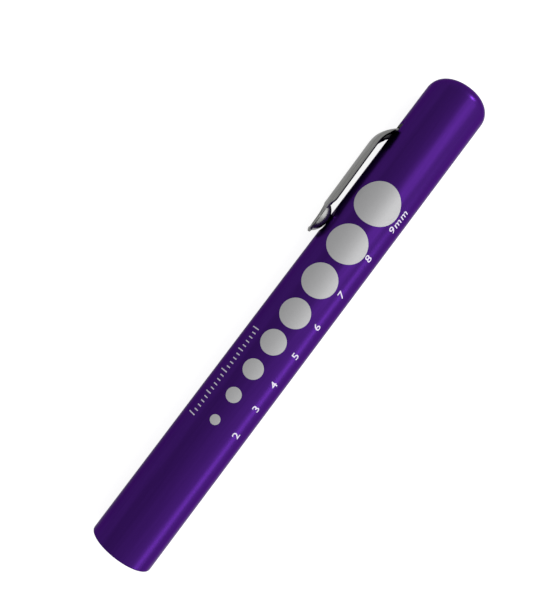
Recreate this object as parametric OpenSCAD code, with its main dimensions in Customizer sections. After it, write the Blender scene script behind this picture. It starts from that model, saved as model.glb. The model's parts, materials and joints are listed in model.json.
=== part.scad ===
// Penlight with a pupil gauge and a clip switch
// Each piece is drawn standing on its lamp end: the pen's axis on Z, z = 0 at the mouth, the clip on -Y.
// It is then laid along X, so that the lamp shines towards +X.
// Last it is rolled until the barrel and the clip's edge rest on a table.

/* [Barrel] */
// Thickness of the drawn tube's wall
wall = 0.7; // [0.5:0.05:1.2]
// Thickness of the closed tail end
tail_wall = 0.8; // [0.6:0.1:1.6]
// Radius of the corner between the side and the tail end
tail_corner_r = 3.2; // [2:0.1:4.5]
// Radius of the slight crown on the tail end
tail_crown_r = 40; // [25:1:90]
// Width of the bevel round the mouth
rim_bevel = 0.35; // [0.2:0.05:0.4]

/* [Pocket clip] */
// Thickness of the spring strip
clip_t = 0.5; // [0.4:0.05:0.7]
// Width of the clip's arm
clip_w = 6.6; // [5:0.1:8]
// Width of the neck that goes through the slot
neck_w = 4; // [3:0.1:4.6]
// Length from the middle of the slot to the tip of the toe
clip_len = 27.3; // [24:0.1:34]
// Distance from the middle of the slot to the tail end
slot_from_tail = 14.3; // [12:0.1:18]
// Height of the arm's outer face over the barrel where the bend ends
clip_rise = 2.7; // [1.8:0.05:3.2]
// Radius of the bend at the middle of the strip
bend_r = 6.5; // [4:0.1:8]
// Slope of the arm towards the barrel, in degrees
arm_slope = 0.8; // [0:0.1:1.5]
// Length of straight strip between the bend and the line that the arm flexes on
flex_run = 1.5; // [1:0.1:3]
// Distance from the tip of the toe to the middle of the dish
dish_from_tip = 3.6; // [3.4:0.05:6]
// Radius of the dish's contact face
dish_r = 3.2; // [3:0.1:4.5]
// How far the dish reaches into the contact hole at rest
dish_nest = 0.3; // [0.1:0.05:0.5]
// How far the dish can be pressed in
press_travel = 0.5; // [0.3:0.05:0.6]

/* [Pupil gauge] */
// Smallest dot's diameter
dot_first = 2; // [1:0.5:3]
// Step in diameter from dot to dot
dot_step = 1; // [0.5:0.1:1]
// Distance from the mouth to the middle of the smallest dot
gauge_start = 31; // [24:0.5:40]
// Gap between the edges of the smallest two dots
dot_gap_first = 3.2; // [2:0.1:4]
// Gap between the edges of the larger dots
dot_gap = 1.3; // [0.8:0.1:2]
// How much narrower each gap is than the one before, down to the gap of the larger dots
dot_gap_fall = 0.7; // [0.2:0.1:1]
// Thickness of the ink
ink_t = 0.04; // [0.03:0.01:0.08]
// Turn from the clip to the row of dots, in degrees
gauge_turn = 80; // [60:1:120]

/* [Lamp head] */
// Depth of the bezel's face behind the mouth
head_recess = 0.6; // [0.3:0.1:1]
// Thickness of the bezel ring
bezel_t = 0.8; // [0.6:0.1:1.5]
// Radius of the window in the bezel ring
window_r = 3.9; // [3:0.1:4.1]
// Thickness of the lens at its edge
lens_t = 0.8; // [0.6:0.1:1.2]
// Height of the lens's crown over its edge
lens_crown = 0.5; // [0.2:0.05:0.55]
// Thickness of the lens seal
lens_seal_t = 0.4; // [0.3:0.05:0.8]
// Thickness of the wall outside the lens
lens_wall = 0.95; // [0.8:0.05:1.2]
// Width of the shoulder that carries the reflector
shoulder_w = 0.8; // [0.6:0.05:1]
// Length of the reflector behind the shoulder
reflector_len = 4.3; // [3:0.1:5.5]
// Diameter of the light-emitting diode
led_d = 5; // [4.4:0.1:5.2]
// Length of the diode, from its tip to its base
led_len = 8.6; // [8:0.1:9.5]
// Thickness of the circuit board
board_t = 0.8; // [0.6:0.1:1.6]
// Thickness of the insulating disc behind the board
holder_t = 0.75; // [0.7:0.05:1.5]
// Height of the contact button over the insulating disc
button_h = 0.7; // [0.5:0.05:1.2]
// Diameter of the head seal's cord
seal_cord_d = 0.9; // [0.7:0.05:0.95]

/* [Cells] */
// Diameter of a cell over its sleeve
cell_d = 10.5; // [9.8:0.1:11]
// Length of a cell from its nub to its base
cell_len = 44.5; // [40:0.5:50]
// Diameter of the positive nub
nub_d = 3.8; // [3:0.1:4.5]
// Height of the positive nub
nub_h = 0.8; // [0.6:0.1:1.2]
// Thickness of the sleeve
sleeve_t = 0.17; // [0.1:0.01:0.3]

/* [Tail] */
// Room for the pressed spring between the rear cell and the cup
spring_len = 3.35; // [3.2:0.05:5]
// Diameter of the spring's wire
wire_d = 0.5; // [0.4:0.05:0.6]
// How much narrower the spring is than a cell
spring_inset = 2.9; // [2:0.1:4]
// Turns of the spring
spring_turns = 2.5; // [2:0.25:2.75]
// Thickness of the cup's sheet
cup_t = 0.3; // [0.2:0.05:0.4]
// Height of the cup's side
cup_h = 3.4; // [2.8:0.1:3.6]
// Length of the plug from the cup to the end of the bore
plug_len = 4.9; // [4.2:0.1:8]

/* [Hidden] */
// Smoothness of round shapes
$fn = 72;
// Overrun of every cut past the face that it opens
cut = 1;
// Clearance between pieces that only lie against each other
slip = 0.02;
// Clearance round pieces that turn or slide
run_gap = 0.07;
// Thickness of the insulating film behind the clip's foot
film_t = 0.1;
// Clearance between the clip's foot and the rear cell
foot_gap = 0.11;

// Radii across the pen, from the cells outwards
cell_r = cell_d / 2;
foot_in_r = cell_r + foot_gap;
foot_out_r = foot_in_r + clip_t;
film_in_r = foot_out_r + slip;
film_out_r = film_in_r + film_t;
bore_r = film_out_r + slip;
barrel_r = bore_r + wall;

// Places along the pen, from the mouth to the tail
bezel_z = head_recess;
lens_z = bezel_z + bezel_t;
lens_seal_z = lens_z + lens_t;
flange_t = 0.3;
flange_z = lens_seal_z + lens_seal_t;
shoulder_z = flange_z + flange_t;
led_set = 0.4;
led_z = shoulder_z + led_set;
board_z = led_z + led_len;
holder_z = board_z + board_t + slip;
button_z = holder_z + holder_t;
front_cell_z = button_z + button_h + slip;
rear_cell_z = front_cell_z + cell_len + slip;
spring_z = rear_cell_z + cell_len + slip;
cup_floor_z = spring_z + spring_len;
plug_z = cup_floor_z + cup_t;
bore_end_z = plug_z + plug_len;
barrel_len = bore_end_z + tail_wall;

// Head shell
head_r = bore_r - run_gap;
lens_bore_r = head_r - lens_wall;
inner_bore_r = lens_bore_r - shoulder_w;
board_wall = 0.4;
board_bore_r = inner_bore_r + board_wall;
head_end_z = button_z;
groove_w = seal_cord_d + 4 * run_gap;
groove_z = shoulder_z + shoulder_w;
seal_out_r = bore_r - run_gap / 2;
groove_r = seal_out_r - seal_cord_d - slip;
notch_w = 1.2;
notch_depth_share = 0.5;

// Diode and its board
led_r = led_d / 2;
led_flange_w = 0.4;
led_flange_r = led_r + led_flange_w;
led_flange_t = 1;
leg_w = 0.5;
leg_pitch = 2.54;
leg_hole_r = 0.4;
leg_past = 0.25;
reflector_t = 0.35;
rivet_r = 0.85;
button_r = 1.6;
holder_pocket_r = 2.2;
holder_pocket_share = 0.45;

// Cells
can_r = cell_r - sleeve_t - slip;
base_step = 0.3;
crimp_w = 0.5;
seal_w = 0.5;
base_deep = 1.2;
sleeve_lip = 0.9;

// Tail plug and cup
cup_r = foot_in_r - slip * 2;
cup_z = plug_z - cup_h;
foot_overlap = cup_h / 2;
foot_end_z = cup_z + foot_overlap;
sleeve_gap = 0.15;

// Clip: the bend's centre, the slot, the neck and the line that the arm flexes on
bend_in_r = bend_r - clip_t / 2;
bend_out_r = bend_r + clip_t / 2;
bend_c_r = barrel_r + clip_rise - bend_out_r;
slot_z = barrel_len - slot_from_tail;
mid_wall_r = barrel_r - wall / 2;
slot_angle = acos((mid_wall_r - bend_c_r) / bend_r);
bend_c_z = slot_z - bend_r * sin(slot_angle);
neck_lift = 0.35;
neck_z = bend_c_z + sqrt(pow(bend_r, 2) - pow(barrel_r + neck_lift - bend_c_r, 2));
shoulder_share = 0.85;
clip_shoulder_z = bend_c_z + shoulder_share * (neck_z - bend_c_z);
flex_gap = 0.2;
flex_z = bend_c_z - bend_r * sin(arm_slope) - flex_run * cos(arm_slope);
foot_mid_r = (foot_in_r + foot_out_r) / 2;
foot_z = bend_c_z + sqrt(pow(bend_r, 2) - pow(foot_mid_r - bend_c_r, 2));
toe_z = slot_z - clip_len;
dish_z = toe_z + dish_from_tip;
dish_c_r = barrel_r - dish_nest + dish_r;
dish_in_r = dish_r - clip_t;

// Roll that sets the barrel's side and the clip's outer edge on one table, from the clip straight out sideways
clip_out_r = barrel_r + clip_rise;
rest_roll = 90 - acos(barrel_r / clip_out_r) - asin(clip_w / 2 / clip_out_r);

// Contact hole: the dish meets its edge a little past the full travel
hole_clear = 0.06;
hole_r = sqrt(pow(dish_r, 2) - pow(dish_c_r - press_travel - barrel_r, 2)) + hole_clear;

// Slot and the bush that lines it
bush_wall = 0.4;
strip_gap = 0.05;
slot_w = neck_w + 2 * (strip_gap + bush_wall);
slot_len = clip_t * 4;
film_w = neck_w + 2 * bush_wall;

// Gauge: the diameters and the places of the dots
dot_count = 8;
dots = [for (i = [0 : dot_count - 1]) dot_first + i * dot_step];
function gap_after(i) = max(dot_gap, dot_gap_first - i * dot_gap_fall);
function dot_z(i) =
    i == 0 ? gauge_start : dot_z(i - 1) + (dots[i - 1] + dots[i]) / 2 + gap_after(i - 1);

// Lays a piece that stands on its lamp end along X, with the clip on -Y, and rolls it to its rest
module lay() {
    rotate([rest_roll, 0, 0]) rotate([0, -90, 0]) children();
}

// A plain ring or disc between two heights
module ring(out_r, in_r, z_from, z_to) {
    translate([0, 0, z_from])
        difference() {
            cylinder(r = out_r, h = z_to - z_from);
            if (in_r > 0)
                translate([0, 0, -cut]) cylinder(r = in_r, h = z_to - z_from + 2 * cut);
        }
}

// Half outline of a closed tube: radius r, from height z_from to a crowned end with a round corner at z_to
module closed_half(r, z_from, z_to, corner_r, crown_r) {
    difference() {
        union() {
            translate([0, z_from]) square([r - corner_r, z_to - z_from]);
            translate([0, z_from]) square([r, z_to - z_from - corner_r]);
            translate([r - corner_r, z_to - corner_r]) circle(r = corner_r);
        }
        translate([0, z_to - corner_r])
            difference() {
                square([r + cut, corner_r + cut]);
                translate([0, corner_r - crown_r]) circle(r = crown_r, $fn = 4 * $fn);
            }
    }
}

// A block on the clip's side of the pen, as wide as w, from one height to another
module clip_side(w, z_from, z_to) {
    translate([-w / 2, -barrel_r - cut, z_from]) cube([w, barrel_r + cut, z_to - z_from]);
}

// Wedge of the clip's bend between two angles, counted from straight outwards towards the tail
module bend_wedge(a_from, a_to) {
    reach = 2 * bend_out_r;
    a_mid = (a_from + a_to) / 2;
    translate([bend_c_r, bend_c_z])
        polygon([[0, 0], for (a = [a_from, a_mid, a_to]) reach * [cos(a), sin(a)]]);
}

// The bent part of the strip's side outline, as radius and height, thickened by grow on both faces
module bend_outline(a_from, a_to, grow) {
    intersection() {
        translate([bend_c_r, bend_c_z])
            difference() {
                circle(r = bend_out_r + grow);
                circle(r = bend_in_r - grow);
            }
        bend_wedge(a_from, a_to);
    }
}

// A stretch of the straight part of the strip's side outline, between two distances from the bend
module arm_outline(run_from, run_to) {
    translate([bend_c_r, bend_c_z])
        rotate(-arm_slope)
            translate([bend_in_r, -run_to]) square([clip_t, run_to - run_from]);
}

// The clip's outline as seen from outside: round toe, straight arm, shoulders that draw in to the neck
module clip_plan() {
    round_z = toe_z + clip_w / 2;
    translate([0, round_z]) circle(r = clip_w / 2);
    polygon([
        [-clip_w / 2, round_z], [clip_w / 2, round_z],
        [clip_w / 2, clip_shoulder_z], [neck_w / 2, neck_z], [neck_w / 2, barrel_len],
        [-neck_w / 2, barrel_len], [-neck_w / 2, neck_z], [-clip_w / 2, clip_shoulder_z]
    ]);
}

// Everything inside the clip's outline, on its side of the pen
module clip_column() {
    rotate([90, 0, 0])
        linear_extrude(dish_c_r + dish_r) clip_plan();
}

module barrel() {
    color("#3a1469")
        difference() {
            rotate_extrude()
                difference() {
                    closed_half(barrel_r, 0, barrel_len, tail_corner_r, tail_crown_r);
                    translate([0, -barrel_len])
                        closed_half(bore_r, 0, barrel_len + bore_end_z, tail_corner_r - wall,
                                    tail_crown_r - tail_wall);
                    polygon([
                        [barrel_r - rim_bevel - cut, -cut], [barrel_r + cut, -cut],
                        [barrel_r + cut, rim_bevel + cut]
                    ]);
                }
            clip_side(slot_w, slot_z - slot_len / 2, slot_z + slot_len / 2);
            translate([0, 0, dish_z])
                rotate([90, 0, 0]) cylinder(r = hole_r, h = barrel_r + cut);
        }
}

module gauge_dots() {
    color("#b4b4b6")
        rotate([0, 0, gauge_turn])
            intersection() {
                ring(barrel_r + ink_t, barrel_r, 0, barrel_len);
                for (i = [0 : dot_count - 1])
                    translate([0, 0, dot_z(i)])
                        rotate([90, 0, 0]) cylinder(d = dots[i], h = barrel_r + cut);
            }
}

module clip_insulator() {
    color("#2b2b2d")
        difference() {
            union() {
                intersection() {
                    ring(barrel_r - slip, film_in_r, slot_z - slot_len, slot_z + slot_len);
                    clip_side(slot_w - 2 * slip, slot_z - slot_len / 2 + slip, slot_z + slot_len / 2 - slip);
                }
                intersection() {
                    ring(film_out_r, film_in_r, slot_z, foot_end_z + sleeve_gap);
                    clip_side(film_w, slot_z, foot_end_z + sleeve_gap);
                }
            }
            intersection() {
                rotate_extrude() bend_outline(0, 90, strip_gap);
                clip_side(neck_w + 2 * strip_gap, bend_c_z, barrel_len);
            }
        }
}

module clip_root() {
    color("#9a9a98")
        union() {
            intersection() {
                rotate_extrude() bend_outline(-arm_slope, 90, 0);
                ring(clip_out_r, foot_in_r, flex_z, barrel_len);
                clip_column();
            }
            intersection() {
                rotate_extrude() arm_outline(0, flex_run - flex_gap / 2);
                clip_column();
            }
            intersection() {
                ring(foot_out_r, foot_in_r, foot_z, foot_end_z);
                clip_side(neck_w, foot_z, foot_end_z);
            }
        }
}

module clip_arm() {
    arm_run = (bend_c_z - toe_z) / cos(arm_slope);
    color("#a6a6a4")
        difference() {
            union() {
                intersection() {
                    rotate_extrude() arm_outline(flex_run + flex_gap / 2, arm_run);
                    clip_column();
                }
                dish_cap();
            }
            translate([0, -dish_c_r, dish_z]) sphere(r = dish_in_r);
        }
}

// The dish's outer ball, below the middle of the strip
module dish_cap() {
    strip_mid_r = barrel_r + clip_rise - clip_t / 2 - tan(arm_slope) * (bend_c_z - dish_z);
    intersection() {
        translate([0, -dish_c_r, dish_z]) sphere(r = dish_r);
        ring(strip_mid_r, 0, 0, barrel_len);
    }
}

module tail_plug() {
    color("#2b2b2d")
        difference() {
            rotate_extrude()
                closed_half(bore_r - slip, cup_z + slip, bore_end_z - slip, tail_corner_r - wall,
                            tail_crown_r - tail_wall);
            translate([0, 0, cup_z - cut]) cylinder(r = cup_r + slip, h = cup_h + cut);
            clip_side(film_w + 2 * slip, cup_z - cut, foot_end_z + 2 * sleeve_gap);
        }
}

module tail_cup() {
    color("#c9a857")
        difference() {
            ring(cup_r, 0, cup_z, plug_z);
            translate([0, 0, cup_z - cut]) cylinder(r = cup_r - cup_t, h = cup_h - cup_t + cut);
        }
}

// One coil as an unbroken six-sided tube of triangles, with its wire's axis on a helix
module tail_spring() {
    sides = 6;
    rings_per_turn = 8;
    ring_count = ceil(spring_turns * rings_per_turn);
    coil_r = (cell_d - spring_inset - wire_d) / 2;
    climb = spring_len - wire_d - 2 * slip;
    function wire_point(i, k) =
        let (turn = 360 * spring_turns * i / ring_count)
        let (a = 360 * k / sides)
        let (r = coil_r + wire_d / 2 * cos(a))
        [r * cos(turn), r * sin(turn), wire_d / 2 + climb * i / ring_count + wire_d / 2 * sin(a)];
    points = [for (i = [0 : ring_count]) for (k = [0 : sides - 1]) wire_point(i, k)];
    faces = [
        for (i = [0 : ring_count - 1]) for (k = [0 : sides - 1])
            let (a = i * sides + k)
            let (b = i * sides + (k + 1) % sides)
            each [[a, a + sides, b + sides], [a, b + sides, b]],
        for (k = [1 : sides - 2]) [0, k, k + 1],
        for (k = [1 : sides - 2]) let (e = ring_count * sides) [e, e + k + 1, e + k]
    ];
    echo(spring_gap_to_itself = climb / spring_turns - wire_d);
    color("#b8b8ba")
        translate([0, 0, spring_z + slip]) polyhedron(points, faces);
}

// A cell's pieces, from the tip of the nub at height z to the base
module cell_can(z) {
    end_z = z + cell_len - base_step;
    color("#b9babc")
        difference() {
            union() {
                ring(nub_d / 2, 0, z, z + nub_h + cut);
                ring(can_r, 0, z + nub_h, end_z);
            }
            translate([0, 0, end_z - base_deep]) cylinder(r = can_r - crimp_w, h = base_deep + cut);
        }
}

module cell_sleeve(z) {
    lip_z = z + nub_h - slip;
    top_z = lip_z - sleeve_t;
    end_z = z + cell_len - base_step;
    in_r = cell_r - sleeve_t;
    lip_r = can_r - sleeve_lip;
    color("#2f3f57")
        rotate_extrude()
            polygon([
                [lip_r, top_z], [cell_r, top_z], [cell_r, end_z],
                [in_r, end_z], [in_r, lip_z], [lip_r, lip_z]
            ]);
}

module cell_seal(z) {
    end_z = z + cell_len - base_step;
    out_r = can_r - crimp_w - slip;
    color("#4a6fa5") ring(out_r, out_r - seal_w, end_z - base_deep + slip, end_z);
}

module cell_base(z) {
    end_z = z + cell_len;
    out_r = can_r - crimp_w - seal_w - 2 * slip;
    color("#c4c4c2")
        ring(out_r, 0, end_z - base_step - base_deep + slip, end_z);
}

module head_seal() {
    cord_r = seal_cord_d / 2;
    color("#1c1c1e")
        rotate_extrude()
            translate([seal_out_r - cord_r, groove_z + groove_w / 2]) circle(r = cord_r, $fn = 36);
}

module head_shell() {
    color("#8f9094")
        difference() {
            ring(head_r, inner_bore_r, bezel_z, head_end_z);
            translate([0, 0, bezel_z - cut]) cylinder(r = lens_bore_r, h = shoulder_z - bezel_z + cut);
            translate([0, 0, board_z]) cylinder(r = board_bore_r, h = head_end_z - board_z + cut);
            ring(head_r + cut, groove_r, groove_z, groove_z + groove_w);
        }
}

module bezel_ring() {
    notch_deep = bezel_t * notch_depth_share;
    color("#a9aaad")
        difference() {
            ring(lens_bore_r - slip, window_r, bezel_z, lens_z);
            translate([-notch_w / 2, -head_r, bezel_z - cut]) cube([notch_w, 2 * head_r, notch_deep + cut]);
        }
}

module lens() {
    out_r = lens_bore_r - slip;
    crown_edge_r = window_r - 2 * slip;
    ball_r = (pow(crown_edge_r, 2) + pow(lens_crown, 2)) / (2 * lens_crown);
    color("#dfe8ee", 0.5)
        union() {
            ring(out_r, 0, lens_z, lens_seal_z);
            intersection() {
                translate([0, 0, lens_z - lens_crown + ball_r]) sphere(r = ball_r, $fn = 4 * $fn);
                ring(crown_edge_r, 0, lens_z - lens_crown, lens_seal_z);
            }
        }
}

module lens_seal() {
    color("#1c1c1e") ring(lens_bore_r - slip, inner_bore_r, lens_seal_z, flange_z);
}

module reflector() {
    mouth_r = inner_bore_r - slip - reflector_t;
    neck_r = led_r + slip * 2;
    neck_z = shoulder_z + reflector_len;
    color("#d9dadc")
        rotate_extrude()
            polygon([
                [mouth_r, flange_z], [lens_bore_r - slip, flange_z],
                [lens_bore_r - slip, shoulder_z], [mouth_r + reflector_t, shoulder_z],
                [neck_r + reflector_t, neck_z], [neck_r, neck_z]
            ]);
}

module led() {
    flange_z0 = board_z - led_flange_t;
    color("#f2edd2", 0.8)
        difference() {
            union() {
                translate([0, 0, led_z + led_r]) sphere(r = led_r);
                ring(led_r, 0, led_z + led_r, board_z);
                ring(led_flange_r, 0, flange_z0, board_z);
            }
            translate([led_r, -led_flange_r, flange_z0 - cut])
                cube([led_flange_r, 2 * led_flange_r, led_flange_t + 2 * cut]);
        }
}

module led_legs() {
    color("#c8c8ca")
        for (side = [-1, 1])
            translate([side * leg_pitch / 2 - leg_w / 2, -leg_w / 2, board_z])
                cube([leg_w, leg_w, board_t + leg_past]);
}

module led_board() {
    color("#1f5a3a")
        difference() {
            ring(board_bore_r - slip, 0, board_z, board_z + board_t);
            for (side = [-1, 1])
                translate([side * leg_pitch / 2, 0, board_z - cut])
                    cylinder(r = leg_hole_r, h = board_t + 2 * cut);
        }
}

module contact_holder() {
    color("#e6e2d6")
        difference() {
            ring(board_bore_r - slip, rivet_r + slip, holder_z, button_z);
            translate([0, 0, holder_z - cut])
                cylinder(r = holder_pocket_r, h = holder_t * holder_pocket_share + cut);
        }
}

module contact_button() {
    color("#c9a857")
        union() {
            ring(rivet_r, 0, holder_z, button_z + button_h);
            ring(button_r, 0, button_z, button_z + button_h);
        }
}

lay() barrel();
lay() gauge_dots();
lay() clip_insulator();
lay() clip_root();
lay() clip_arm();
lay() tail_plug();
lay() tail_cup();
lay() tail_spring();
lay() cell_can(rear_cell_z);  // rear_cell_can
lay() cell_sleeve(rear_cell_z);  // rear_cell_sleeve
lay() cell_seal(rear_cell_z);  // rear_cell_seal
lay() cell_base(rear_cell_z);  // rear_cell_base
lay() cell_can(front_cell_z);  // front_cell_can
lay() cell_sleeve(front_cell_z);  // front_cell_sleeve
lay() cell_seal(front_cell_z);  // front_cell_seal
lay() cell_base(front_cell_z);  // front_cell_base
lay() head_seal();
lay() head_shell();
lay() bezel_ring();
lay() lens();
lay() lens_seal();
lay() reflector();
lay() led();
lay() led_legs();
lay() led_board();
lay() contact_holder();
lay() contact_button();
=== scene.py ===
import json
from math import atan2, cos, hypot, pi, radians, sin, sqrt

import bmesh
import bpy
from mathutils import Matrix, Vector


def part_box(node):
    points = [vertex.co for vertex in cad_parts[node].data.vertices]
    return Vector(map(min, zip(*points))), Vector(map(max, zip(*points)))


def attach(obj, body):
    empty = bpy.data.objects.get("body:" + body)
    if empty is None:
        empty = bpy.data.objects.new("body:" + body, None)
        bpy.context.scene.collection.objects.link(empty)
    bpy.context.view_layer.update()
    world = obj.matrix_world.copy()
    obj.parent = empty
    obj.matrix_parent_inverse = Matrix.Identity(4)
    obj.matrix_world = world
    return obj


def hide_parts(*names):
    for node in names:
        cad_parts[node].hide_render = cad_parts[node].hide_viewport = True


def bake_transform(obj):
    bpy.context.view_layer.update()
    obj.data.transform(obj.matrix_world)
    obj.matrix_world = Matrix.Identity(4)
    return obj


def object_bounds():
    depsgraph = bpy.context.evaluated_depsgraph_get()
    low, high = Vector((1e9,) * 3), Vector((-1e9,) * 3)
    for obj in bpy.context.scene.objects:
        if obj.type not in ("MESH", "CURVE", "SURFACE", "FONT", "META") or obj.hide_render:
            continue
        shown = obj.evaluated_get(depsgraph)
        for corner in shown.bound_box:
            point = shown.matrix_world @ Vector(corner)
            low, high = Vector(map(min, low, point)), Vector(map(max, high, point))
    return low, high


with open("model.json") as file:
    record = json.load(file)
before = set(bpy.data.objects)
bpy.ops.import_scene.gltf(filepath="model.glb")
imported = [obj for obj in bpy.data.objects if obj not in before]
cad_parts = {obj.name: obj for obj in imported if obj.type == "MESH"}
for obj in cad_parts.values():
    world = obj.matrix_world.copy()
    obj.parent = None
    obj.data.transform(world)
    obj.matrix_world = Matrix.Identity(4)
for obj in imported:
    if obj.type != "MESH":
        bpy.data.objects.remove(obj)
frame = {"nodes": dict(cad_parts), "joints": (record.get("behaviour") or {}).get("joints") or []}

cad_low, cad_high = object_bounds()
nodes = frame["nodes"]
scene = bpy.context.scene
scene.view_settings.view_transform = "Standard"
for spare in ("Cube", "Light", "Camera"):
    if spare in bpy.data.objects and spare not in nodes:
        bpy.data.objects.remove(bpy.data.objects[spare])


# Camera: it looks down on the pen from the side of the printed gauge, so that the clip is seen edge on.
# Its place and turn come from a fit of the barrel's outline and of the row of dots.
clip_axis = Vector(next(j["axis"] for j in frame["joints"] if j["name"] == "clip_press"))
roll = atan2(clip_axis.y, -clip_axis.z)
to_tail = Vector((-1, 0, 0))
camera_height = radians(84.5) - roll
aim_x, camera_distance = -0.04528, 0.13817
to_camera = Vector((0, -cos(camera_height), sin(camera_height)))
across = to_tail.cross(to_camera)
picture_right = 0.60191 * to_tail + 0.01002 * to_camera + 0.79850 * across
picture_up = 0.79520 * to_tail + 0.08416 * to_camera - 0.60048 * across
picture_back = picture_right.cross(picture_up)
camera_place = Vector((aim_x, 0, 0)) + camera_distance * to_camera
lens_view = bpy.data.cameras.new("photo_camera")
lens_view.sensor_fit = "AUTO"
lens_view.sensor_width = 36
lens_view.lens = 42
lens_view.shift_x, lens_view.shift_y = -0.00125, 0.00095
lens_view.clip_start = 0.005
camera = bpy.data.objects.new("photo_camera", lens_view)
camera.matrix_world = Matrix((
    (picture_right.x, picture_up.x, picture_back.x, camera_place.x),
    (picture_right.y, picture_up.y, picture_back.y, camera_place.y),
    (picture_right.z, picture_up.z, picture_back.z, camera_place.z),
    (0, 0, 0, 1),
))
scene.collection.objects.link(camera)
scene.camera = camera


# Barrel: one tube drawn from thin aluminium, closed and rounded at the tail and open at the lamp end.
# A slot near the tail lets the clip's neck in, and a round contact hole lies under the clip's toe.
# It is anodised in a glossy purple.
lay = Matrix.Rotation(roll, 4, "X") @ Matrix.Rotation(radians(-90), 4, "Y")
barrel_len = -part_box("barrel")[0].x
barrel_r = 0.0067
wall = 0.0007
corner_r = 0.0032
corner_sweep = radians(65.3)
crown_sweep = radians(6.95)
crown_r = 0.040
lip_bevel = 0.00035
slot_z, slot_w, slot_len, slot_corner_r = 0.09828, 0.0049, 0.0020, 0.0002
dish_z, hole_r = 0.07458, 0.00218
cutter_depth = 0.004
mid_ring_z, hole_ring_off, slot_ring_off = 0.06, 0.0032, 0.0022
merge_gap = 1e-7


def grow(shape, end, place):
    """Draws an edge on from the last point of an outline and returns its new end."""
    end = bmesh.ops.extrude_vert_indiv(shape, verts=[end])["verts"][0]
    end.co = place
    return end


def sweep(shape, end, centre, angle, steps):
    """Carries an outline on along an arc that turns from +X to +Z, and returns its new end."""
    turned_end = bmesh.ops.spin(shape, geom=[end], cent=centre, axis=(0, -1, 0), angle=angle, steps=steps)
    return next(v for v in turned_end["geom_last"] if isinstance(v, bmesh.types.BMVert))


def turn_round(shape, steps):
    """Spins an outline once round the pen's axis and closes its seam and its poles."""
    outline = shape.verts[:] + shape.edges[:]
    bmesh.ops.spin(shape, geom=outline, cent=(0, 0, 0), axis=(0, 0, 1), angle=2 * pi, steps=steps, use_merge=True)
    bmesh.ops.remove_doubles(shape, verts=shape.verts, dist=merge_gap)
    bmesh.ops.recalc_face_normals(shape, faces=shape.faces)


def soften(shape, width, least=radians(40), segments=2):
    """Rounds every edge of a shape that is sharper than a given angle."""
    sharp = [e for e in shape.edges if len(e.link_faces) == 2 and e.calc_face_angle(0) > least]
    bmesh.ops.bevel(shape, geom=sharp, offset=width, affect="EDGES", segments=segments, profile=0.5,
                    material=-1, clamp_overlap=True)


def make_piece(name, shape, place=lay, smooth=radians(32)):
    """Makes an object from a shape drawn standing on its lamp end, laid down where the frame has it."""
    bmesh.ops.transform(shape, matrix=place, verts=shape.verts)
    mesh = bpy.data.meshes.new(name)
    shape.to_mesh(mesh)
    shape.free()
    mesh.shade_smooth()
    mesh.set_sharp_from_angle(angle=smooth)
    piece = bpy.data.objects.new(name, mesh)
    scene.collection.objects.link(piece)
    return piece


def add_to(whole, shape):
    """Adds one shape to another as it lies, and frees it."""
    carrier = bpy.data.meshes.new("carrier")
    shape.to_mesh(carrier)
    shape.free()
    whole.from_mesh(carrier)
    bpy.data.meshes.remove(carrier)


def cut_out(piece, cutter):
    """Cuts one shape out of a piece and throws the cutter away."""
    cut = piece.modifiers.new("cut", "BOOLEAN")
    cut.object = cutter
    cut.solver = "EXACT"
    bpy.context.view_layer.update()
    cut_mesh = bpy.data.meshes.new_from_object(piece.evaluated_get(bpy.context.evaluated_depsgraph_get()))
    piece.modifiers.clear()
    whole = piece.data
    piece.data = cut_mesh
    cut_mesh.name = piece.name
    bpy.data.meshes.remove(whole)
    spent = cutter.data
    bpy.data.objects.remove(cutter)
    bpy.data.meshes.remove(spent)


tube = bmesh.new()
outline_end = tube.verts.new((barrel_r, 0, 0))
outline_end = grow(tube, outline_end, (barrel_r, 0, barrel_len - corner_r))
outline_end = sweep(tube, outline_end, (barrel_r - corner_r, 0, barrel_len - corner_r), corner_sweep, 14)
pole = sweep(tube, outline_end, (0, 0, barrel_len - crown_r), crown_sweep, 6)
pole.co = (0, 0, barrel_len)
turn_round(tube, 180)
bmesh.ops.solidify(tube, geom=tube.faces[:], thickness=wall)
bmesh.ops.recalc_face_normals(tube, faces=tube.faces)
lip = [e for e in tube.edges if all(abs(v.co.z) < 1e-6 for v in e.verts)
       and all(hypot(v.co.x, v.co.y) > barrel_r - wall / 4 for v in e.verts)]
bmesh.ops.bevel(tube, geom=lip, offset=lip_bevel, affect="EDGES", segments=4, profile=0.5, material=-1)
for ring_z in (mid_ring_z, dish_z - hole_ring_off, dish_z + hole_ring_off,
               slot_z - slot_ring_off, slot_z + slot_ring_off):
    bmesh.ops.bisect_plane(tube, geom=tube.verts[:] + tube.edges[:] + tube.faces[:], plane_co=(0, 0, ring_z),
                           plane_no=(0, 0, 1))
barrel = make_piece("barrel_tube", tube)

slot_cutter = bmesh.new()
bmesh.ops.create_cube(slot_cutter, size=1)
bmesh.ops.scale(slot_cutter, vec=(slot_w, cutter_depth, slot_len), verts=slot_cutter.verts)
corners = [e for e in slot_cutter.edges if abs(e.verts[0].co.y - e.verts[1].co.y) > cutter_depth / 2]
bmesh.ops.bevel(slot_cutter, geom=corners, offset=slot_corner_r, affect="EDGES", segments=3, profile=0.5,
                material=-1)
bmesh.ops.translate(slot_cutter, vec=(0, -barrel_r, slot_z), verts=slot_cutter.verts)
cut_out(barrel, make_piece("slot_cutter", slot_cutter))

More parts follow.
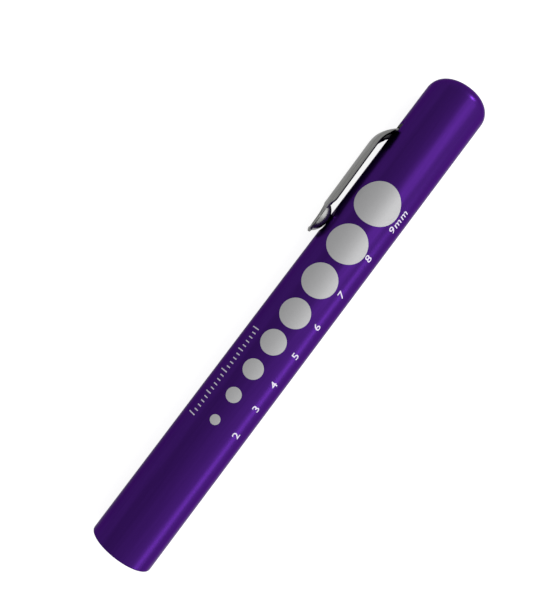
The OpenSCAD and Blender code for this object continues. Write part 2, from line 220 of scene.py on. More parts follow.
hole_cutter = bmesh.new()
bmesh.ops.create_cone(hole_cutter, cap_ends=True, segments=72, radius1=hole_r, radius2=hole_r,
                      depth=cutter_depth)
bmesh.ops.rotate(hole_cutter, cent=(0, 0, 0), matrix=Matrix.Rotation(radians(90), 3, "X"), verts=hole_cutter.verts)
bmesh.ops.translate(hole_cutter, vec=(0, -barrel_r, dish_z), verts=hole_cutter.verts)
cut_out(barrel, make_piece("hole_cutter", hole_cutter))


def new_finish(name, colour, metallic, roughness, **sockets):
    """Starts a node material: the values that are the same all over are set on the shader itself."""
    finish = bpy.data.materials.new(name)
    finish.use_nodes = True
    shader = finish.node_tree.nodes["Principled BSDF"]
    shader.inputs["Base Color"].default_value = (*colour, 1)
    shader.inputs["Metallic"].default_value = metallic
    shader.inputs["Roughness"].default_value = roughness
    for socket, value in sockets.items():
        shader.inputs[socket.replace("_", " ")].default_value = value
    return finish


def grain(finish, stretch, size, detail=3.0):
    """Adds a noise to a finish: stretch turns or draws it out, and size is its grain in metres."""
    tree = finish.node_tree
    place = tree.nodes.new("ShaderNodeTexCoord")
    drawn = tree.nodes.new("ShaderNodeMapping")
    drawn.inputs["Scale"].default_value = stretch
    noise = tree.nodes.new("ShaderNodeTexNoise")
    noise.inputs["Scale"].default_value = 1 / size
    noise.inputs["Detail"].default_value = detail
    tree.links.new(place.outputs["Object"], drawn.inputs["Vector"])
    tree.links.new(drawn.outputs["Vector"], noise.inputs["Vector"])
    return noise.outputs["Fac"]


def tint(finish, share, dark, light, low=0.3, high=0.7):
    """Runs the base colour from dark to light by a noise."""
    tree = finish.node_tree
    ramp = tree.nodes.new("ShaderNodeValToRGB")
    ramp.color_ramp.elements[0].position = low
    ramp.color_ramp.elements[0].color = (*dark, 1)
    ramp.color_ramp.elements[1].position = high
    ramp.color_ramp.elements[1].color = (*light, 1)
    tree.links.new(share, ramp.inputs["Fac"])
    tree.links.new(ramp.outputs["Color"], tree.nodes["Principled BSDF"].inputs["Base Color"])
    return ramp.outputs["Color"]


def polish(finish, share, low, high):
    """Runs the roughness between two values by a noise."""
    tree = finish.node_tree
    spread = tree.nodes.new("ShaderNodeMapRange")
    spread.inputs["To Min"].default_value = low
    spread.inputs["To Max"].default_value = high
    tree.links.new(share, spread.inputs["Value"])
    tree.links.new(spread.outputs["Result"], tree.nodes["Principled BSDF"].inputs["Roughness"])


def relief(finish, share, depth):
    """Raises the surface by a noise: depth is in metres."""
    tree = finish.node_tree
    bump = tree.nodes.new("ShaderNodeBump")
    bump.inputs["Strength"].default_value = 1
    bump.inputs["Distance"].default_value = depth
    tree.links.new(share, bump.inputs["Height"])
    tree.links.new(bump.outputs["Normal"], tree.nodes["Principled BSDF"].inputs["Normal"])


purple = new_finish("purple_anodised", (0.054, 0.0112, 0.162), 1.0, 0.30, Specular_Tint=(0.55, 0.47, 0.62, 1))
draw_lines = grain(purple, (0.06, 1, 1), 0.0006)
tint(purple, draw_lines, (0.051, 0.0105, 0.154), (0.057, 0.0119, 0.170))
polish(purple, grain(purple, (0.3, 1, 1), 0.00025), 0.27, 0.33)
relief(purple, draw_lines, 1.5e-7)
barrel.data.materials.clear()
barrel.data.materials.append(purple)
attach(barrel, "barrel")
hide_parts("barrel")


# Gauge dots: eight discs from 2 to 9 mm, printed in one row along the barrel in matt silver ink.
# A pupil is held beside them to read its size. The film of ink is a few hundredths of a millimetre thick.
ink_t, dot_strip = 0.00004, 0.00035
gauge_turn = radians(80)
dot_places = ((2, 31.0), (3, 36.7), (4, 42.7), (5, 49.0), (6, 55.8), (7, 63.6), (8, 72.4), (9, 82.2))


def strips(shape, width, step):
    """Cuts flat print into narrow strips along the pen, so that it can follow the round barrel."""
    count = int(width / step)
    for i in range(-count, count + 1):
        bmesh.ops.bisect_plane(shape, geom=shape.verts[:] + shape.edges[:] + shape.faces[:],
                               plane_co=(i * step, 0, 0), plane_no=(1, 0, 0))


dots = bmesh.new()
for dot_mm, dot_z in dot_places:
    dot = bmesh.new()
    dot_r = dot_mm / 2000
    bmesh.ops.create_circle(dot, cap_ends=True, segments=96, radius=dot_r)
    strips(dot, dot_r, dot_strip)
    for v in dot.verts:
        v.co = (v.co.x, -sqrt(barrel_r ** 2 - v.co.x ** 2), dot_z / 1000 + v.co.y)
    bmesh.ops.recalc_face_normals(dot, faces=dot.faces)
    if dot.faces[0].normal.y > 0:
        bmesh.ops.reverse_faces(dot, faces=dot.faces)
    bmesh.ops.solidify(dot, geom=dot.faces[:], thickness=-ink_t)
    bmesh.ops.recalc_face_normals(dot, faces=dot.faces)
    add_to(dots, dot)
dot_row = make_piece("silver_dots", dots, lay @ Matrix.Rotation(gauge_turn, 4, "Z"))
silver = new_finish("silver_ink", (0.50, 0.50, 0.51), 0.5, 0.45)
flakes = grain(silver, (1, 1, 1), 0.00008, 4)
tint(silver, flakes, (0.45, 0.45, 0.455), (0.55, 0.55, 0.56))
polish(silver, flakes, 0.42, 0.58)
relief(silver, flakes, 1e-6)
dot_row.data.materials.append(silver)
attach(dot_row, "barrel")
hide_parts("gauge_dots")


# Numerals: the dots' sizes in pale ink, printed along the far side of the row, with the unit after the last.
# They read towards the tail, with their heads towards the clip.
numeral_height, capital_share = 0.00175, 0.72
pale_ink_t, print_reach, print_strip = 0.00003, 0.0012, 0.0002
numeral_places = (("2", 30.8, 126.5), ("3", 37.0, 126.5), ("4", 42.6, 126.5), ("5", 49.4, 126.5), ("6", 56.3, 126.5),
                  ("7", 64.0, 126.5), ("8", 72.8, 126.5), ("9mm", 82.2, 131))


def print_on(flat, print_z, print_turn):
    """Wraps flat print round the barrel: its own X runs to the tail and its Y towards the clip."""
    bmesh.ops.rotate(flat, cent=(0, 0, 0), matrix=Matrix.Rotation(radians(-90), 3, "Z"), verts=flat.verts)
    strips(flat, print_reach, print_strip)
    for v in flat.verts:
        turn = print_turn - v.co.x / barrel_r
        v.co = (barrel_r * sin(turn), -barrel_r * cos(turn), print_z - v.co.y)
    bmesh.ops.recalc_face_normals(flat, faces=flat.faces)
    outward = Vector((sin(print_turn), -cos(print_turn), 0))
    for f in flat.faces:
        f.normal_update()
        if f.normal.dot(outward) < 0:
            f.normal_flip()
    bmesh.ops.solidify(flat, geom=flat.faces[:], thickness=-pale_ink_t)


numerals = bmesh.new()
for mark, mark_z, mark_turn in numeral_places:
    line = bpy.data.curves.new("numeral", "FONT")
    line.body = mark
    line.align_x = "CENTER"
    line.align_y = "CENTER"
    line.size = numeral_height / capital_share
    line.space_character = 1.15
    line.offset = 0.00001
    line_object = bpy.data.objects.new("numeral", line)
    scene.collection.objects.link(line_object)
    bpy.context.view_layer.update()
    flat_mesh = bpy.data.meshes.new_from_object(line_object.evaluated_get(bpy.context.evaluated_depsgraph_get()))
    bpy.data.objects.remove(line_object)
    bpy.data.curves.remove(line)
    flat_print = bmesh.new()
    flat_print.from_mesh(flat_mesh)
    bpy.data.meshes.remove(flat_mesh)
    bmesh.ops.remove_doubles(flat_print, verts=flat_print.verts, dist=merge_gap)
    print_on(flat_print, mark_z / 1000, radians(mark_turn))
    add_to(numerals, flat_print)
numeral_row = make_piece("gauge_numerals", numerals)
pale_ink = new_finish("pale_ink", (0.80, 0.74, 0.88), 0.0, 0.5)
pale_flakes = grain(pale_ink, (1, 1, 1), 0.0001, 4)
tint(pale_ink, pale_flakes, (0.72, 0.66, 0.82), (0.86, 0.81, 0.92))
polish(pale_ink, pale_flakes, 0.4, 0.55)
numeral_row.data.materials.append(pale_ink)
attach(numeral_row, "barrel")


# Scale: a row of plain millimetre ticks in the same pale ink, on the clip's side of the dots.
# Every fifth tick is longer, and every tenth longer still.
tick_turn = radians(38)
tick_start, tick_step, tick_count = 0.0292, 0.001, 21
tick_w, tick_foot = 0.00022, 0.00095
tenth_long, fifth_long, plain_long = 0.0019, 0.0015, 0.0010
ticks = bmesh.new()
for i in range(tick_count):
    tick = bmesh.new()
    tick_long = tenth_long if i % 10 == 0 else fifth_long if i % 5 == 0 else plain_long
    bmesh.ops.create_grid(tick, x_segments=1, y_segments=1, size=0.5)
    bmesh.ops.scale(tick, vec=(tick_w, tick_long, 1), verts=tick.verts)
    bmesh.ops.translate(tick, vec=(0, tick_long / 2 - tick_foot, 0), verts=tick.verts)
    print_on(tick, tick_start + i * tick_step, tick_turn)
    add_to(ticks, tick)
tick_row = make_piece("millimetre_ticks", ticks)
tick_row.data.materials.append(pale_ink)
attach(tick_row, "barrel")


# Clip insulator: a nylon bush that lines the slot, with a film behind the clip's foot, pressed in from inside.
# It is moulded in black, and keeps the clip, which is live, off the barrel.
black = new_finish("black_plastic", (0.012, 0.012, 0.013), 0.0, 0.6, Specular_IOR_Level=0.2)
moulded = grain(black, (1, 1, 1), 0.0001)
tint(black, moulded, (0.010, 0.010, 0.011), (0.015, 0.015, 0.016))
relief(black, moulded, 2e-6)
nodes["clip_insulator"].data.materials[0] = black


# Pocket clip and switch: one strip of nickel-plated spring steel. Its foot lies inside the barrel,
# its neck comes out through the slot and bends back, and the arm ends in a round toe with a pressed dish.
# Pressing the toe brings the dish to the edge of the contact hole, which lights the lamp.
# Its sides are turned in along the edge. The neck is coloured black where it passes the slot, and the inside of the
# bend is coloured black as painted shade, for the shadow between the clip and the barrel.
clip_t, clip_w, neck_w = 0.0005, 0.0066, 0.0040
bend_z, bend_c_r, bend_r = 0.092936, 0.00265, 0.0065
arm_slope, foot_turn = radians(0.8), radians(62.91)
toe_z, shoulder_z, neck_z = 0.07098, 0.09750, 0.09772
foot_r, foot_end_z = 0.00561, 0.10518
dish_c_r, dish_mid_r, dish_depth = 0.0096, 0.00295, 0.00265
dish_squareness, dish_lip = 6, 0.0002
dish_fair_r, dish_fair_rounds = 0.0037, 8
crown, crown_fade = 0.00025, 0.003
toe_droop, toe_flat, toe_flat_end, toe_flat_fade = 0.00045, 0.6, 0.0045, 0.0025
edge_curl, curl_w, curl_fade = 0.00042, 0.0008, 0.0015
edge_r = 0.00011
# Painted shade: faces high in the bend that face into it are coloured black, for the shadow between clip and barrel.
# The band above is the neck where it passes the slot, which is also coloured black.
painted_shade_bend_z, painted_shade_facing = bend_z + 0.0008, 0.6
black_neck_low, black_neck_high = 0.0977, 0.0995
arm_start_r = bend_c_r + bend_r * cos(arm_slope)
arm_start_z = bend_z - bend_r * sin(arm_slope)
arm_run = (arm_start_z - toe_z) / cos(arm_slope)
foot_z = bend_z + bend_r * sin(foot_turn)

# Stations along the strip's middle, as radius and height: round toe, dish, arm, bend and foot.
toe_steps, toe_skipped, dish_steps, arm_steps, bend_steps, foot_steps = 45, 4, 70, 50, 70, 12
columns = 72
toe_run, dish_run = clip_w / 2, 0.0042
runs = [toe_run * (1 - cos(pi / 2 * i / toe_steps)) for i in range(toe_skipped, toe_steps)]
runs += [toe_run + dish_run * i / dish_steps for i in range(dish_steps)]
runs += [toe_run + dish_run + (arm_run - toe_run - dish_run) * i / arm_steps for i in range(arm_steps)]
stations = [(arm_start_r - (arm_run - run) * sin(arm_slope), arm_start_z - (arm_run - run) * cos(arm_slope))
            for run in runs]
turns = [(foot_turn + arm_slope) * i / bend_steps - arm_slope for i in range(bend_steps + 1)]
stations += [(bend_c_r + bend_r * cos(turn), bend_z + bend_r * sin(turn)) for turn in turns]
stations += [(foot_r, foot_z + (foot_end_z - foot_z) * i / foot_steps) for i in range(1, foot_steps + 1)]


def limit(share):
    """Keeps a share between none and all."""
    return min(1, max(0, share))


def half_width(z):
    """Half the strip's width at a height: round toe, straight arm, shoulders drawn in to the neck."""
    if z < toe_z + clip_w / 2:
        return sqrt(max(0, (clip_w / 2) ** 2 - (toe_z + clip_w / 2 - z) ** 2))
    shoulder = limit((z - shoulder_z) / (neck_z - shoulder_z))
    return clip_w / 2 + (neck_w / 2 - clip_w / 2) * shoulder


def from_edge(x, z):
    """How far a point of the strip lies inside its outline, round the toe as well as along the sides."""
    if z < toe_z + clip_w / 2:
        return clip_w / 2 - hypot(x, toe_z + clip_w / 2 - z)
    return half_width(z) - abs(x)


strip = bmesh.new()
bmesh.ops.create_grid(strip, x_segments=columns, y_segments=len(stations) - 1, size=0.5)
for v in strip.verts:
    r, z = stations[round((v.co.y + 0.5) * (len(stations) - 1))]
    x = half_width(z) * sin(pi * v.co.x)
    r += crown * (1 - (2 * x / clip_w) ** 2) * limit((neck_z - z) / crown_fade)
    flat = limit((dish_z + toe_flat_end - z) / toe_flat_fade)
    curl = max(0, 1 - from_edge(x, z) / curl_w)
    sag = r - sqrt(r * r - x * x) + edge_curl * curl * curl * limit((shoulder_z - z) / curl_fade)
    y = sag * (1 - toe_flat * flat * flat * (3 - 2 * flat)) - r
    y += toe_droop * max(0, 1 - 2 * (z - toe_z) / clip_w) ** 2
    inside = 1 - (x / dish_mid_r) ** dish_squareness - ((z - dish_z) / dish_mid_r) ** 2
    if inside > 0:
        y_dish = dish_depth * sqrt(inside) - dish_c_r
        mix = max(0, dish_lip - abs(y - y_dish)) / dish_lip
        y = max(y, y_dish) + mix * mix * dish_lip / 4
    v.co = (x, y, z)
bmesh.ops.remove_doubles(strip, verts=strip.verts, dist=1e-6)
round_dish = [v for v in strip.verts if hypot(v.co.x, v.co.z - dish_z) < dish_fair_r and not v.is_boundary]
for _ in range(dish_fair_rounds):
    bmesh.ops.smooth_vert(strip, verts=round_dish, factor=0.5, use_axis_x=True, use_axis_y=True, use_axis_z=True)
bmesh.ops.recalc_face_normals(strip, faces=strip.faces)
bmesh.ops.solidify(strip, geom=strip.faces[:], thickness=clip_t)
bmesh.ops.recalc_face_normals(strip, faces=strip.faces)
soften(strip, edge_r, radians(60), 3)
strip.normal_update()
# Marks the faces that are coloured black: the neck in the slot, and the inside of the bend as painted shade.
varnish = strip.verts.layers.float.new("varnish")
for face in strip.faces:
    middle = face.calc_center_median()
    inward = Vector((0, -bend_c_r - middle.y, bend_z - middle.z)).normalized()
    painted_shade_in_bend = middle.z > painted_shade_bend_z and face.normal.dot(inward) > painted_shade_facing
    if painted_shade_in_bend or black_neck_low < middle.z < black_neck_high:
        for v in face.verts:
            v[varnish] = 1
clip = make_piece("pocket_clip", strip, smooth=radians(50))
steel = new_finish("clip_steel", (0.30, 0.30, 0.29), 1.0, 0.26)
rolled = grain(steel, (0.04, 1, 1), 0.00012, 4)
bare = tint(steel, rolled, (0.26, 0.26, 0.255), (0.36, 0.36, 0.35))
tree = steel.node_tree
# Near-black on the marked faces: the black neck, and the painted shade inside the bend.
black_neck_and_shade_mask = tree.nodes.new("ShaderNodeAttribute")
black_neck_and_shade_mask.attribute_name = "varnish"
black_neck_and_shade_mix = tree.nodes.new("ShaderNodeMix")
black_neck_and_shade_mix.data_type = "RGBA"
tree.links.new(black_neck_and_shade_mask.outputs["Fac"], black_neck_and_shade_mix.inputs["Factor"])
tree.links.new(bare, black_neck_and_shade_mix.inputs["A"])
black_neck_and_shade_mix.inputs["B"].default_value = (0.015, 0.015, 0.015, 1)
tree.links.new(black_neck_and_shade_mix.outputs["Result"], tree.nodes["Principled BSDF"].inputs["Base Color"])
polish(steel, rolled, 0.20, 0.32)
relief(steel, rolled, 4e-7)
clip.data.materials.append(steel)
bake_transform(clip)
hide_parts("clip_root", "clip_arm")


# Tail plug and tail cup: a moulded black plug that fills the closed end, and a stamped brass cup pressed in it.
# The cup takes the spring on its floor and the clip's foot on its side.
nodes["tail_plug"].data.materials[0] = black
brass = new_finish("contact_brass", (0.72, 0.53, 0.24), 1.0, 0.3)
stamped = grain(brass, (1, 1, 1), 0.0003)
tint(brass, stamped, (0.64, 0.46, 0.20), (0.78, 0.59, 0.29))
polish(brass, stamped, 0.24, 0.4)
nodes["tail_cup"].data.materials[0] = brass


# Tail spring: a short coil of plated round wire between the cup and the rear cell.
# It stretches after the cells as the head is screwed out.
wire_r, coil_r = 0.00025, 0.00355
spring_turns, steps_per_turn = 2.5, 40
spring_low, spring_high = -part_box("tail_spring")[1].x, -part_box("tail_spring")[0].x
climb = spring_high - spring_low - 2 * wire_r
wire = bmesh.new()
bmesh.ops.create_circle(wire, cap_ends=True, segments=14, radius=wire_r)
bmesh.ops.rotate(wire, cent=(0, 0, 0), matrix=Matrix.Rotation(radians(90), 3, "X"), verts=wire.verts)
bmesh.ops.translate(wire, vec=(coil_r, 0, spring_low + wire_r), verts=wire.verts)
wire_steps = int(spring_turns * steps_per_turn)
bmesh.ops.spin(wire, geom=wire.faces[:], cent=(0, 0, 0), axis=(0, 0, 1), dvec=(0, 0, climb / wire_steps),
               angle=2 * pi * spring_turns, steps=wire_steps)
bmesh.ops.recalc_face_normals(wire, faces=wire.faces)
spring = make_piece("coil_spring", wire)
plated_wire = new_finish("spring_wire", (0.60, 0.60, 0.61), 1.0, 0.3)
wire_grain = grain(plated_wire, (1, 1, 1), 0.0002)
tint(plated_wire, wire_grain, (0.54, 0.54, 0.55), (0.65, 0.65, 0.66))
polish(plated_wire, wire_grain, 0.24, 0.36)
spring.data.materials.append(plated_wire)
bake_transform(spring)
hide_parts("tail_spring")


# Cells: two standard cells, nub forward. Each is a plated steel can in a plain shrunk sleeve,
# closed at its base by a nylon seal and a pressed steel cover.
can = new_finish("cell_steel", (0.58, 0.58, 0.60), 1.0, 0.3)
can_grain = grain(can, (1, 1, 1), 0.0004)
tint(can, can_grain, (0.52, 0.52, 0.54), (0.64, 0.64, 0.66))
polish(can, can_grain, 0.24, 0.38)
sleeve = new_finish("cell_sleeve", (0.030, 0.050, 0.100), 0.0, 0.3)
shrunk = grain(sleeve, (0.3, 1, 1), 0.001)
tint(sleeve, shrunk, (0.026, 0.044, 0.090), (0.034, 0.056, 0.112))
relief(sleeve, shrunk, 4e-6)
cell_nylon = new_finish("cell_seal", (0.08, 0.16, 0.36), 0.0, 0.5)
tint(cell_nylon, grain(cell_nylon, (1, 1, 1), 0.0005), (0.07, 0.14, 0.32), (0.09, 0.18, 0.40))
for cell in ("rear_cell", "front_cell"):
    nodes[cell + "_can"].data.materials[0] = can
    nodes[cell + "_base"].data.materials[0] = can
    nodes[cell + "_sleeve"].data.materials[0] = sleeve
    nodes[cell + "_seal"].data.materials[0] = cell_nylon


# Head shell: a turned insert of bare aluminium that carries the lamp and screws into the barrel.
# It has a groove for the seal at its front and a fine thread behind it.
head_front, head_end = -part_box("head_shell")[1].x, -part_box("head_shell")[0].x
head_r, lens_bore_r, inner_bore_r, board_bore_r = 0.00593, 0.00498, 0.00418, 0.00458
lens_seat_z, board_z = 0.0029, 0.0119
groove_z, groove_w, groove_r = 0.0037, 0.00118, 0.005045
thread_core_r, thread_pitch, thread_from = 0.00562, 0.00075, 0.0057
thread_slope, thread_inset, ridge_foot, ridge_top, ridge_sunk = 0.0003, 0.0004, 0.0003, 0.00006, 0.00005
steps_per_thread = 60
head_edge = 0.00008


def turned(points, edge, steps=120, closed=True):
    """A turned piece: its outline as radius and height, spun round the pen's axis, with its edges broken."""
    shape = bmesh.new()
    first = shape.verts.new((points[0][0], 0, points[0][1]))
    end = first
    for point_r, point_z in points[1:]:
        end = grow(shape, end, (point_r, 0, point_z))
    if closed:
        shape.edges.new((end, first))
    turn_round(shape, steps)
    if edge:
        soften(shape, edge)
    return shape


insert = turned([
    (lens_bore_r, head_front), (head_r, head_front), (head_r, groove_z), (groove_r, groove_z),
    (groove_r, groove_z + groove_w), (head_r, groove_z + groove_w), (head_r, thread_from - thread_slope),
    (thread_core_r, thread_from), (thread_core_r, head_end), (board_bore_r, head_end), (board_bore_r, board_z),
    (inner_bore_r, board_z), (inner_bore_r, lens_seat_z), (lens_bore_r, lens_seat_z),
], head_edge)
thread = bmesh.new()
ridge_mid, ridge_root_r = thread_from + thread_inset, thread_core_r - ridge_sunk
ridge_end = ridge_start = thread.verts.new((ridge_root_r, 0, ridge_mid - ridge_foot))
for ridge_r, ridge_z in ((head_r, -ridge_top), (head_r, ridge_top), (ridge_root_r, ridge_foot)):
    ridge_end = grow(thread, ridge_end, (ridge_r, 0, ridge_mid + ridge_z))
thread.edges.new((ridge_end, ridge_start))
bmesh.ops.contextual_create(thread, geom=thread.edges[:])
thread_turns = int((head_end - thread_from - 2 * thread_inset) / thread_pitch)
thread_steps = thread_turns * steps_per_thread
bmesh.ops.spin(thread, geom=thread.faces[:], cent=(0, 0, 0), axis=(0, 0, 1),
               dvec=(0, 0, thread_pitch / steps_per_thread), angle=2 * pi * thread_turns, steps=thread_steps)
bmesh.ops.recalc_face_normals(thread, faces=thread.faces)
add_to(insert, thread)
head_shell = make_piece("threaded_head", insert)
aluminium = new_finish("bare_aluminium", (0.62, 0.63, 0.65), 1.0, 0.3)
lathe_marks = grain(aluminium, (1, 0.05, 0.05), 0.00006, 2)
tint(aluminium, lathe_marks, (0.57, 0.58, 0.60), (0.67, 0.68, 0.70))
polish(aluminium, lathe_marks, 0.24, 0.38)
relief(aluminium, lathe_marks, 5e-7)
head_shell.data.materials.append(aluminium)
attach(head_shell, "lamp_head")
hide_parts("head_shell")


# Seals: a nitrile O-ring that lies in the head's groove and rubs on the barrel's bore, and a flat ring
# of the same rubber that is clamped behind the lens.
rubber = new_finish("seal_rubber", (0.020, 0.020, 0.022), 0.0, 0.55)
rubber_bloom = grain(rubber, (1, 1, 1), 0.0002)
tint(rubber, rubber_bloom, (0.016, 0.016, 0.018), (0.028, 0.028, 0.030))
polish(rubber, rubber_bloom, 0.45, 0.62)
nodes["head_seal"].data.materials[0] = rubber
nodes["lens_seal"].data.materials[0] = rubber


# Bezel ring: a turned ring of bare aluminium that screws into the head over the lens.
# Two notches across its face take a pin spanner.
bezel_front, bezel_back = -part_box("bezel_ring")[1].x, -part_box("bezel_ring")[0].x
bezel_r, window_r, window_flare, flare_deep = 0.00496, 0.0039, 0.00035, 0.0003
notch_w, notch_deep, notch_reach = 0.0012, 0.0004, 0.02
bezel_edge = 0.00006
ring = turned([
    (window_r + window_flare, bezel_front), (bezel_r, bezel_front), (bezel_r, bezel_back), (window_r, bezel_back),
    (window_r, bezel_front + flare_deep),
], bezel_edge)
bezel = make_piece("spanner_ring", ring)
notch = bmesh.new()
bmesh.ops.create_cube(notch, size=1)
bmesh.ops.scale(notch, vec=(notch_w, notch_reach, 2 * notch_deep), verts=notch.verts)
bmesh.ops.translate(notch, vec=(0, 0, bezel_front), verts=notch.verts)
cut_out(bezel, make_piece("notch_cutter", notch))
bezel.data.materials.clear()
bezel.data.materials.append(aluminium)
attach(bezel, "lamp_head")
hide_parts("bezel_ring")


# Lens: a disc of clear moulded acrylic with a slight crown, which closes the head.
# It is held between the bezel ring and its seal.
acrylic = new_finish("clear_lens", (0.96, 0.98, 0.99), 0.0, 0.03, Transmission_Weight=1.0, IOR=1.49)
polish(acrylic, grain(acrylic, (1, 1, 1), 0.0006), 0.01, 0.05)
nodes["lens"].data.materials[0] = acrylic


# Reflector: a thin moulded plastic cone, metallised inside, that stands round the diode.
# It rests on the shoulder in the head, under the lens and its seal.
chrome = new_finish("reflector_chrome", (0.85, 0.86, 0.87), 1.0, 0.08)
mould_ripple = grain(chrome, (1, 1, 1), 0.0008)
tint(chrome, mould_ripple, (0.82, 0.83, 0.84), (0.88, 0.89, 0.90))
polish(chrome, mould_ripple, 0.05, 0.12)
nodes["reflector"].data.materials[0] = chrome


# Diode: a 5 mm lamp of clear epoxy on two tinned legs, which are soldered to the board. Inside it a small cup
# on the lead frame holds the chip under its yellow phosphor.
epoxy = new_finish("led_epoxy", (0.97, 0.96, 0.90), 0.0, 0.04, Transmission_Weight=1.0, IOR=1.53)
polish(epoxy, grain(epoxy, (1, 1, 1), 0.0008), 0.02, 0.06)
nodes["led"].data.materials[0] = epoxy
cup_z, cup_rim_z, cup_back_z = 0.0086, 0.0080, 0.0090
cup_floor_r, cup_mouth_r, cup_rim_r, cup_back_r, cup_steps = 0.0006, 0.0010, 0.00118, 0.00085, 48
cap_top_z, cap_edge_z, cap_foot_z, cap_foot_r = 0.00795, 0.00805, 0.0083, 0.00092
cup = turned([
    (0, cup_z), (cup_floor_r, cup_z), (cup_mouth_r, cup_rim_z), (cup_rim_r, cup_rim_z), (cup_back_r, cup_back_z),
    (0, cup_back_z),
], 0, cup_steps, closed=False)
chip_cup = make_piece("chip_cup", cup)
tinned = new_finish("tinned_leg", (0.66, 0.66, 0.67), 1.0, 0.3)
tint(tinned, grain(tinned, (1, 1, 1), 0.0002), (0.60, 0.60, 0.61), (0.70, 0.70, 0.71))
chip_cup.data.materials.append(tinned)
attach(chip_cup, "lamp_head")
phosphor_cap = turned([
    (0, cap_top_z), (cup_floor_r, cap_edge_z), (cap_foot_r, cap_foot_z), (0, cap_foot_z),
], 0, cup_steps, closed=False)
phosphor = make_piece("phosphor", phosphor_cap)
yellow = new_finish("phosphor", (0.85, 0.66, 0.08), 0.0, 0.6)
tint(yellow, grain(yellow, (1, 1, 1), 0.0002), (0.78, 0.58, 0.05), (0.90, 0.72, 0.12))
phosphor.data.materials.append(yellow)
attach(phosphor, "lamp_head")
nodes["led_legs"].data.materials[0] = tinned


# Diode board: a round board of glass cloth and epoxy under green solder mask, which carries the diode's legs.
# It is pushed into the bore at the back of the head.
board = new_finish("board_green", (0.02, 0.11, 0.05), 0.0, 0.35)
glass_cloth = grain(board, (1, 1, 1), 0.0003)
tint(board, glass_cloth, (0.016, 0.095, 0.042), (0.026, 0.125, 0.058))
polish(board, glass_cloth, 0.28, 0.42)
nodes["led_board"].data.materials[0] = board


# Contact holder and button: an insulating disc of natural nylon that closes the head, and the brass rivet
# through it that meets the front cell.
nylon = new_finish("natural_nylon", (0.78, 0.75, 0.66), 0.0, 0.45, Subsurface_Weight=0.1)
tint(nylon, grain(nylon, (1, 1, 1), 0.0008), (0.72, 0.69, 0.60), (0.82, 0.79, 0.71))
polish(nylon, grain(nylon, (1, 1, 1), 0.00015), 0.38, 0.52)
nodes["contact_holder"].data.materials[0] = nylon
nodes["contact_button"].data.materials[0] = brass


# Floor and light: a white table that shows as white to the lens, and darker in the metal on the near side
# of the pen. The room is brighter beyond the pen and towards its tail. A long lamp stands beyond the pen,
# a soft one hangs over its tail, and a small one puts the glint on its dome.
floor_half, floor_x = 3, -0.05
white_in_lens = 0.90
near_y, far_y, near_in_metal, far_in_metal = -0.015, 0.015, 0.34, 0.85
bright_side = (-0.3, 0.81, 0.50)
room_greys = ((0.40, 0.58), (0.64, 0.72), (0.80, 0.87))
floor_shape = bmesh.new()
bmesh.ops.create_grid(floor_shape, x_segments=1, y_segments=1, size=floor_half)
bmesh.ops.translate(floor_shape, vec=(floor_x, 0, cad_low[2]), verts=floor_shape.verts)
floor = make_piece("table", floor_shape, Matrix.Identity(4))
table = new_finish("table_white", (0.30, 0.30, 0.30), 0.0, 0.9, Specular_IOR_Level=0.0)
tree = table.node_tree
paths = tree.nodes.new("ShaderNodeLightPath")
through = tree.nodes.new("ShaderNodeMath")
through.operation = "MAXIMUM"
tree.links.new(paths.outputs["Is Camera Ray"], through.inputs[0])
tree.links.new(paths.outputs["Is Transmission Ray"], through.inputs[1])
to_lens = tree.nodes.new("ShaderNodeMath")
to_lens.operation = "MULTIPLY"
to_lens.inputs[1].default_value = white_in_lens
tree.links.new(through.outputs[0], to_lens.inputs[0])
spot = tree.nodes.new("ShaderNodeTexCoord")
depth = tree.nodes.new("ShaderNodeSeparateXYZ")
tree.links.new(spot.outputs["Object"], depth.inputs["Vector"])
in_metal = tree.nodes.new("ShaderNodeMapRange")
in_metal.inputs["From Min"].default_value = near_y
in_metal.inputs["From Max"].default_value = far_y
in_metal.inputs["To Min"].default_value = near_in_metal
in_metal.inputs["To Max"].default_value = far_in_metal
tree.links.new(depth.outputs["Y"], in_metal.inputs["Value"])
glow = tree.nodes.new("ShaderNodeMath")
glow.operation = "MULTIPLY_ADD"
tree.links.new(paths.outputs["Is Glossy Ray"], glow.inputs[0])
tree.links.new(in_metal.outputs["Result"], glow.inputs[1])
tree.links.new(to_lens.outputs[0], glow.inputs[2])
table_shader = tree.nodes["Principled BSDF"]
table_shader.inputs["Emission Color"].default_value = (1, 1, 1, 1)
tree.links.new(glow.outputs[0], table_shader.inputs["Emission Strength"])
floor.data.materials.append(table)

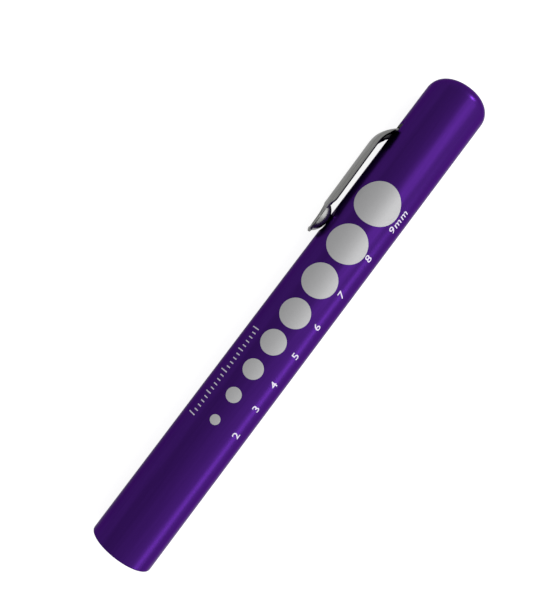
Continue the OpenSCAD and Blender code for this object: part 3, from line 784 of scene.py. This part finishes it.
world = bpy.data.worlds.new("room")
scene.world = world
world.use_nodes = True
room = world.node_tree
direction = room.nodes.new("ShaderNodeTexCoord")
beyond = room.nodes.new("ShaderNodeVectorMath")
beyond.operation = "DOT_PRODUCT"
beyond.inputs[1].default_value = bright_side
room.links.new(direction.outputs["Generated"], beyond.inputs[0])
level = room.nodes.new("ShaderNodeMapRange")
level.inputs["From Min"].default_value = -1
room.links.new(beyond.outputs["Value"], level.inputs["Value"])
dusk = room.nodes.new("ShaderNodeValToRGB")
dusk.color_ramp.elements[0].position = 0.04
dusk.color_ramp.elements[0].color = (0.42, 0.42, 0.42, 1)
dusk.color_ramp.elements[1].position = 0.96
dusk.color_ramp.elements[1].color = (1, 1, 1, 1)
for share, grey in room_greys:
    dusk.color_ramp.elements.new(share).color = (grey, grey, grey, 1)
room.links.new(level.outputs["Result"], dusk.inputs["Fac"])
sky = room.nodes["Background"]
room.links.new(dusk.outputs["Color"], sky.inputs["Color"])
white_sky = room.nodes.new("ShaderNodeBackground")
white_sky.inputs["Color"].default_value = (1, 1, 1, 1)
room_paths = room.nodes.new("ShaderNodeLightPath")
either = room.nodes.new("ShaderNodeMixShader")
room.links.new(room_paths.outputs["Is Camera Ray"], either.inputs["Fac"])
room.links.new(sky.outputs[0], either.inputs[1])
room.links.new(white_sky.outputs[0], either.inputs[2])
room.links.new(either.outputs[0], room.nodes["World Output"].inputs["Surface"])


def soft_lamp(name, place, aim, size, watts):
    """A rectangular soft lamp that looks from one place to another, with its long side along the pen."""
    lamp = bpy.data.lights.new(name, "AREA")
    lamp.shape = "RECTANGLE"
    lamp.size, lamp.size_y = size
    lamp.energy = watts
    lamp_object = bpy.data.objects.new(name, lamp)
    back = (Vector(place) - Vector(aim)).normalized()
    side = Vector((1, 0, 0))
    side = (side - side.dot(back) * back).normalized()
    up = back.cross(side)
    lamp_object.matrix_world = Matrix((
        (side.x, up.x, back.x, place[0]), (side.y, up.y, back.y, place[1]), (side.z, up.z, back.z, place[2]),
        (0, 0, 0, 1),
    ))
    scene.collection.objects.link(lamp_object)


soft_lamp("long_lamp", (0.055, 0.345, 0.255), (0.0, 0, 0), (0.49, 0.10), 0.37)
soft_lamp("tail_lamp", (-0.25, 0.08, 0.42), (-0.09, 0, 0), (0.27, 0.27), 0.24)
soft_lamp("small_lamp", (-0.42, 0.047, 0.257), (-0.11, 0, 0), (0.04, 0.04), 0.30)
